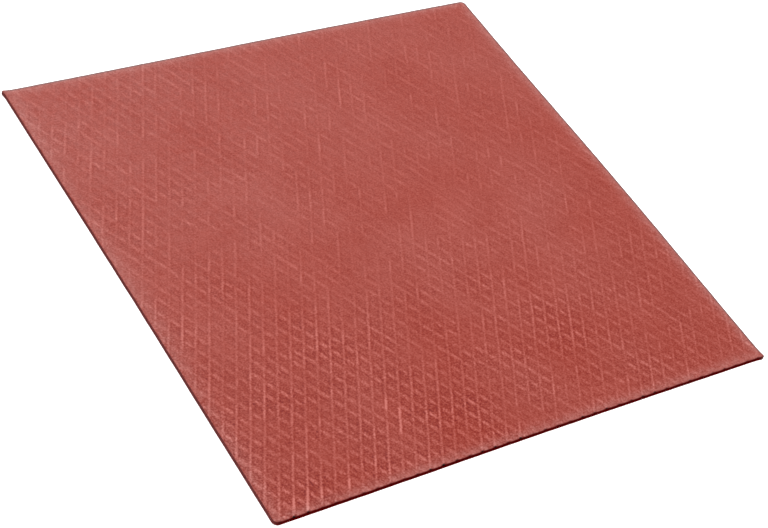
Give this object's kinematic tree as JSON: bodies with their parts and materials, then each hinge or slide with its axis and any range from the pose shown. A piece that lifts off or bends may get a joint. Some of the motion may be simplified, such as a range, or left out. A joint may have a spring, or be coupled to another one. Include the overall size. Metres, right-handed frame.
{
  "type": "thermal pad sheet",
  "caption": "Flat square sheet of soft heat-conducting silicone with rolled rims and small round corners, laid between a warm part and a heatsink to fill the gap.",
  "frame": {"origin": "middle of the underside, on the surface that the sheet lies on", "axes": "+Z out of the embossed top face; X and Y along the cut sides, which are of equal length"},
  "size_m": [0.1, 0.1, 0.001],
  "materials": {
    "silicone": "matte"
  },
  "bodies": {
    "root": {"pad_sheet": "silicone"}
  },
  "joints": []
}
